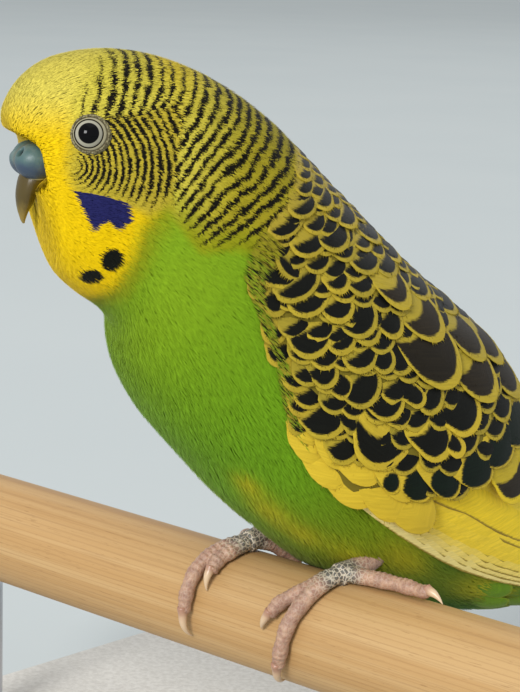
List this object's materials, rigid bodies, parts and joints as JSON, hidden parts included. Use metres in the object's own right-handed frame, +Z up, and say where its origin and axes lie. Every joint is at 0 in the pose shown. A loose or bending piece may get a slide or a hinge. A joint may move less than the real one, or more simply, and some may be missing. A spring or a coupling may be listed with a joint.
{
  "type": "budgerigar on a perch",
  "caption": "Life-size still model of a perched budgerigar, gripping a short length of dowel perch held over a flat base by two short rods.",
  "frame": {"origin": "middle of the underside of the stand's flat base, which rests on the floor", "axes": "+Z up; the perch runs along X; the bird looks along -Y, turned 12 degrees towards -X, with its head a further 17 degrees"},
  "size_m": [0.172, 0.1701, 0.1396],
  "materials": {
    "face_plumage": "fine matt feathers, yellow mask and fine black bars, satin sheen",
    "barred_plumage": "matt feathers, black and yellow-green bars",
    "body_plumage": "soft matt body feathers, grass green with yellow patches",
    "wing_feathers": "firm feathers, black with yellow margins, yellow flights, satin sheen",
    "tail_feathers": "firm long feathers, blue-green and yellow, satin sheen",
    "eye": "wet gloss, black with a pale iris ring",
    "cere": "bare waxy skin, grey-teal",
    "beak": "smooth horn, olive, paler at the tip, low gloss",
    "foot_skin": "small scales, pink grey, pale horn claws",
    "perch_wood": "sanded pale softwood dowel, fine grain along it",
    "stand_base": "smooth matt painted wood, off-white",
    "stand_rod": "satin steel rod"
  },
  "bodies": {
    "root": {"head": "face_plumage", "neck": "barred_plumage", "torso": "body_plumage", "tail": "tail_feathers", "wing_left": "wing_feathers", "wing_right": "wing_feathers", "eye_left": "eye", "eye_right": "eye", "cere": "cere", "beak_upper": "beak", "beak_lower": "beak", "leg_left": "foot_skin", "leg_right": "foot_skin", "perch": "perch_wood", "stand_base": "stand_base", "stand_rod_left": "stand_rod", "stand_rod_right": "stand_rod"}
  },
  "joints": []
}
